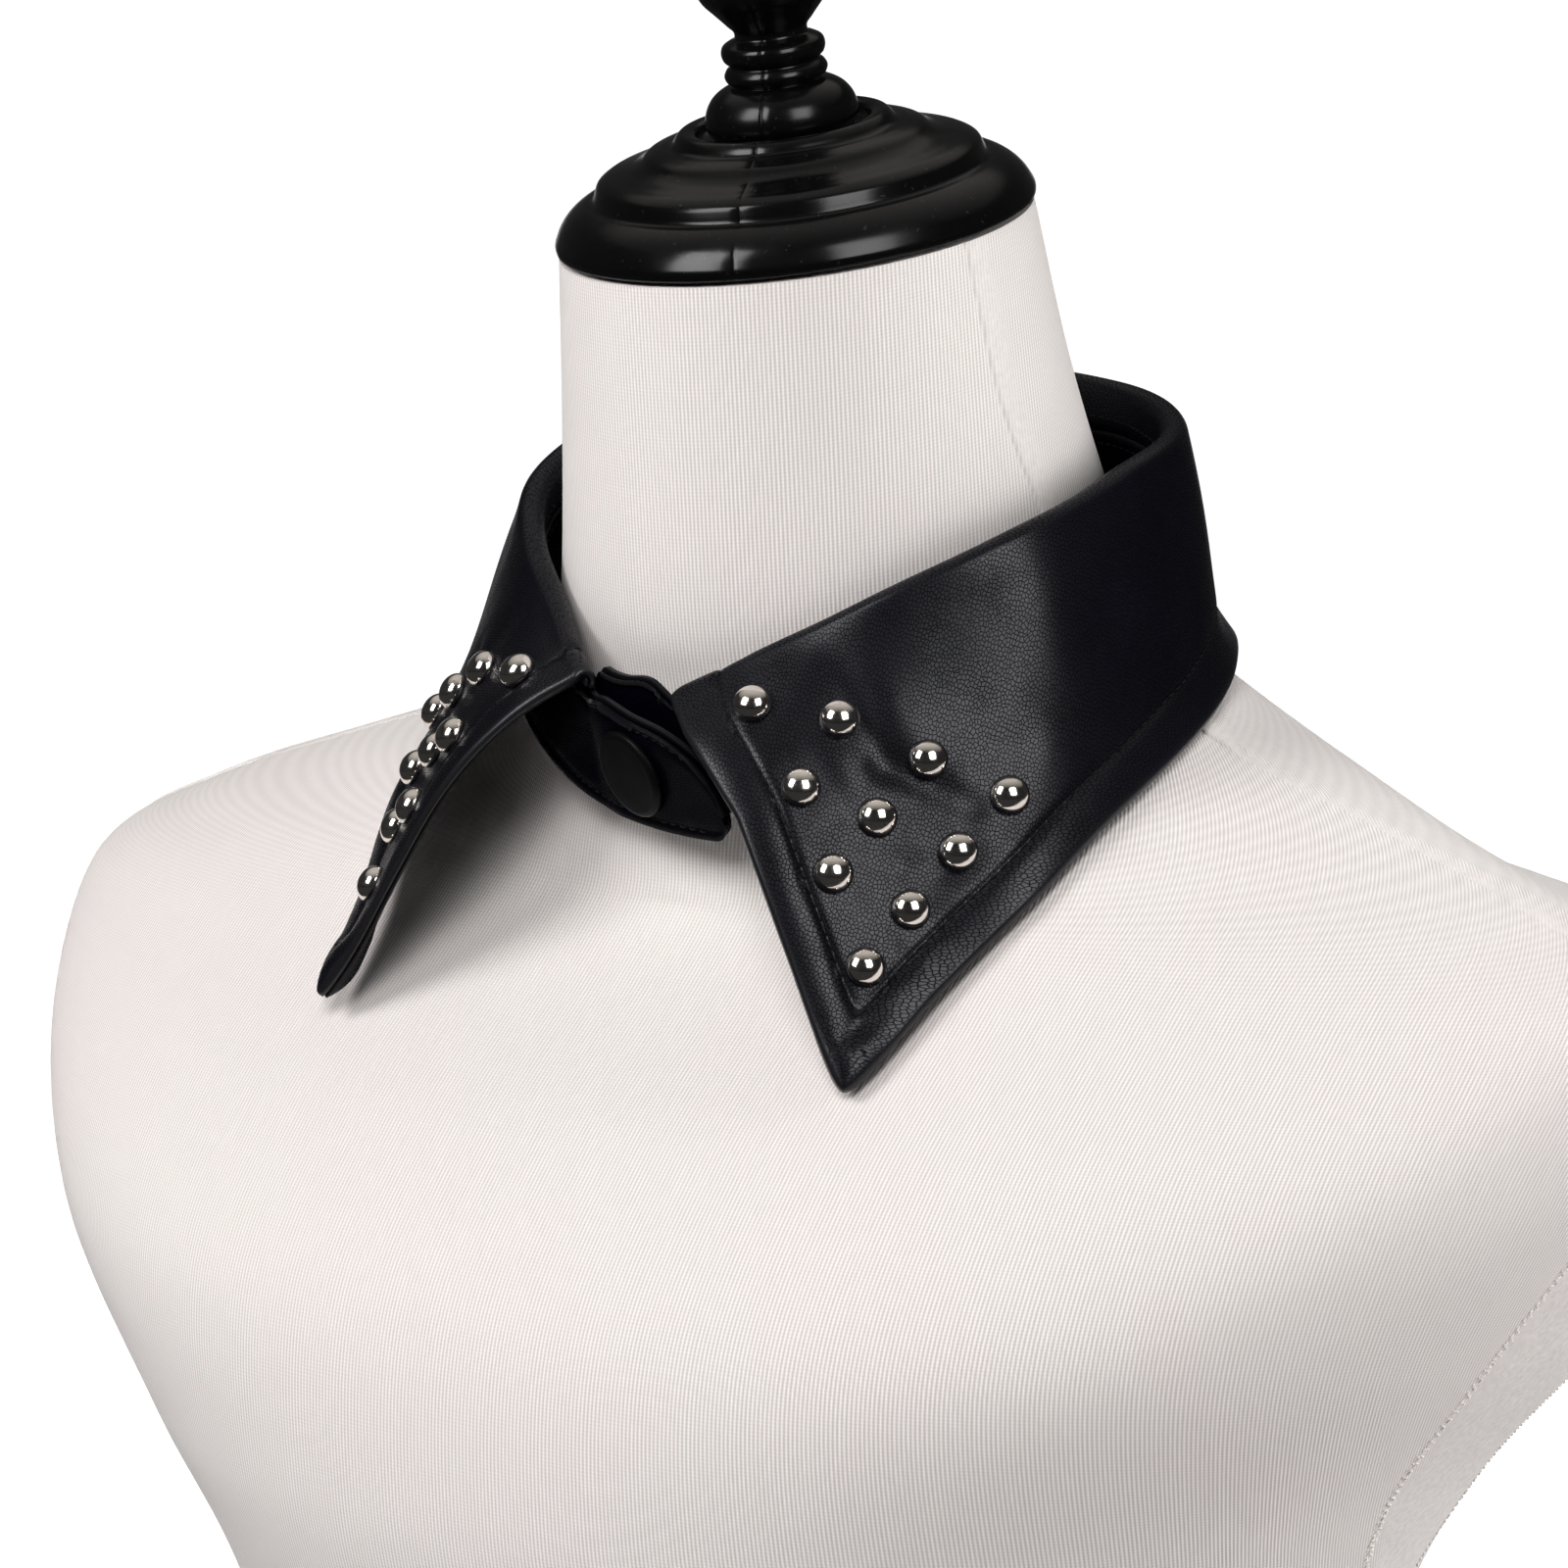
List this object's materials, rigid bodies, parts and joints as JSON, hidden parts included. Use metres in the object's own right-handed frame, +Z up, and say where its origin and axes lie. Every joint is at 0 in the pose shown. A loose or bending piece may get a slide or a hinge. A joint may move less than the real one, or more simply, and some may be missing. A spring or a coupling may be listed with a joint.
{
  "type": "detachable shirt collar on a dress form",
  "caption": "Pointed turn-down collar of black coated leather with dome studs and a snapped band, worn by a limbless jersey-covered dress form with a turned neck cap and finial.",
  "frame": {"origin": "centre of the form's flat underside, on the surface that it stands on", "axes": "+Z up, the wearer faces -Y, +X is the wearer's left"},
  "size_m": [0.4298, 0.2346, 0.4781],
  "materials": {
    "coated_leather": "semi-gloss, fine pebble grain",
    "stud_metal": "polished nickel",
    "snap_metal": "satin gunmetal",
    "jersey": "matt fine-ribbed knit",
    "lacquered_plastic": "glossy black"
  },
  "bodies": {
    "root": {"upper_collar": "coated_leather", "under_collar": "coated_leather", "band_inner": "coated_leather", "band_outer": "coated_leather", "stud_left_01": "stud_metal", "stud_left_02": "stud_metal", "stud_left_03": "stud_metal", "stud_left_04": "stud_metal", "stud_left_05": "stud_metal", "stud_left_06": "stud_metal", "stud_left_07": "stud_metal", "stud_left_08": "stud_metal", "stud_left_09": "stud_metal", "stud_left_10": "stud_metal", "stud_right_01": "stud_metal", "stud_right_02": "stud_metal", "stud_right_03": "stud_metal", "stud_right_04": "stud_metal", "stud_right_05": "stud_metal", "stud_right_06": "stud_metal", "stud_right_07": "stud_metal", "stud_right_08": "stud_metal", "stud_right_09": "stud_metal", "stud_right_10": "stud_metal", "snap_cap": "snap_metal", "snap_socket": "snap_metal", "snap_stud": "snap_metal", "snap_eyelet": "snap_metal", "dress_form": "jersey", "neck_cap": "lacquered_plastic", "finial": "lacquered_plastic"}
  },
  "joints": []
}
